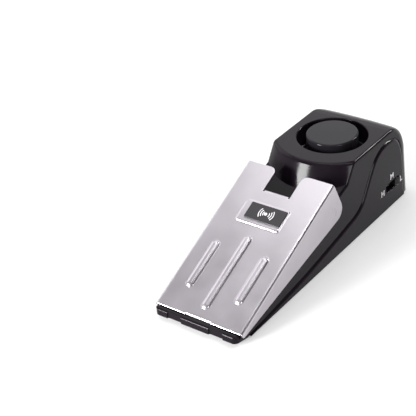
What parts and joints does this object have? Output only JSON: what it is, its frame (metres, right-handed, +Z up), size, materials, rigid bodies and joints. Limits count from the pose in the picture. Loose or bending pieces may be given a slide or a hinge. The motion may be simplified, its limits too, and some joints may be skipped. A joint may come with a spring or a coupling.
{
  "type": "door stop security alarm",
  "caption": "Wedge door stop alarm: black housing with a round siren, hinged steel strike plate over a ramp, slide switches, battery door and grip pad.",
  "frame": {"origin": "on the floor under the middle of the alarm", "axes": "+Z up, -Y towards the thin tip that goes under the door, +X towards the side with the sensitivity switch"},
  "size_m": [0.0452, 0.145, 0.0414],
  "materials": {
    "gloss_black": "glossy black moulded plastic",
    "matte_black": "finely grained black plastic",
    "rubber": "soft matte rubber",
    "stainless": "satin stainless sheet",
    "zinc": "zinc plated steel",
    "brass": "thin brass sheet",
    "ceramic": "silvered ceramic",
    "foam": "soft foam",
    "battery_case": "plain film wrapped case",
    "board_green": "green circuit board",
    "coil_copper": "enamelled copper winding",
    "sensor_blue": "blue sleeve",
    "capacitor_sleeve": "dark shrink sleeve",
    "resistor_tan": "lacquered tan body",
    "switch_steel": "pressed steel switch frame",
    "button_grey": "plain button",
    "lead_red": "plastic insulation",
    "lead_black": "plastic insulation",
    "lead_yellow": "plastic insulation",
    "lead_blue": "plastic insulation"
  },
  "bodies": {
    "housing": {"housing_shell": "gloss_black", "siren_cap": "gloss_black", "siren_chamber": "matte_black", "piezo_disc": "brass", "piezo_ceramic": "ceramic", "chamber_screw_1": "zinc", "chamber_screw_2": "zinc", "base_cover": "matte_black", "grip_pad": "rubber", "rear_foot_left": "rubber", "rear_foot_right": "rubber", "base_screw_1": "zinc", "base_screw_2": "zinc", "base_screw_3": "zinc", "base_screw_4": "zinc", "battery": "battery_case", "battery_snap": "matte_black", "battery_foam": "foam", "main_board": "board_green", "board_screw_1": "zinc", "board_screw_2": "zinc", "controller_chip": "matte_black", "step_up_coil": "coil_copper", "vibration_sensor": "sensor_blue", "smoothing_capacitor": "capacitor_sleeve", "drive_transistor": "matte_black", "resistor_1": "resistor_tan", "resistor_2": "resistor_tan", "resistor_3": "resistor_tan", "power_switch": "switch_steel", "sensitivity_switch": "switch_steel", "trigger_board": "board_green", "trigger_switch": "matte_black", "return_spring": "zinc", "battery_lead_red": "lead_red", "battery_lead_black": "lead_black", "siren_lead_red": "lead_red", "siren_lead_black": "lead_black", "trigger_lead_yellow": "lead_yellow", "trigger_lead_blue": "lead_blue"},
    "plate": {"strike_plate": "stainless", "badge": "gloss_black"},
    "spring_cap": {"spring_cap": "matte_black"},
    "trigger_button": {"trigger_button": "button_grey"},
    "power_knob": {"power_knob": "matte_black"},
    "sensitivity_knob": {"sensitivity_knob": "matte_black"},
    "battery_door": {"battery_door": "matte_black"}
  },
  "joints": [
    {"name": "plate_hinge", "type": "hinge", "parent": "housing", "child": "plate", "pos_m": [0, -0.06865, 0.00377], "axis": [-1, 0, 0], "range_deg": [0, 5.5], "stiffness_Nm_per_rad": 0.84, "springref_deg": -4.3},
    {"name": "spring_cap_slide", "type": "slide", "parent": "housing", "child": "spring_cap", "axis": [0, 0, -1], "range_m": [0, 0.00439], "deforming": ["return_spring"]},
    {"name": "trigger_click", "type": "slide", "parent": "housing", "child": "trigger_button", "axis": [0, 0, -1], "range_m": [0, 0.0003]},
    {"name": "power_slide", "type": "slide", "parent": "housing", "child": "power_knob", "axis": [-1, 0, 0], "range_m": [0, 0.0038]},
    {"name": "sensitivity_slide", "type": "slide", "parent": "housing", "child": "sensitivity_knob", "axis": [0, -1, 0], "range_m": [0, 0.0072]},
    {"name": "battery_door_hinge", "type": "hinge", "parent": "housing", "child": "battery_door", "pos_m": [-0.0045, 0.0028, 0.0006], "axis": [-1, 0, 0], "range_deg": [0, 60]}
  ],
  "couplings": [
    {"joint": "spring_cap_slide", "follows": "plate_hinge", "m_per_rad": 0.045646},
    {"joint": "trigger_click", "follows": "plate_hinge", "m_per_rad": 0.003125}
  ]
}
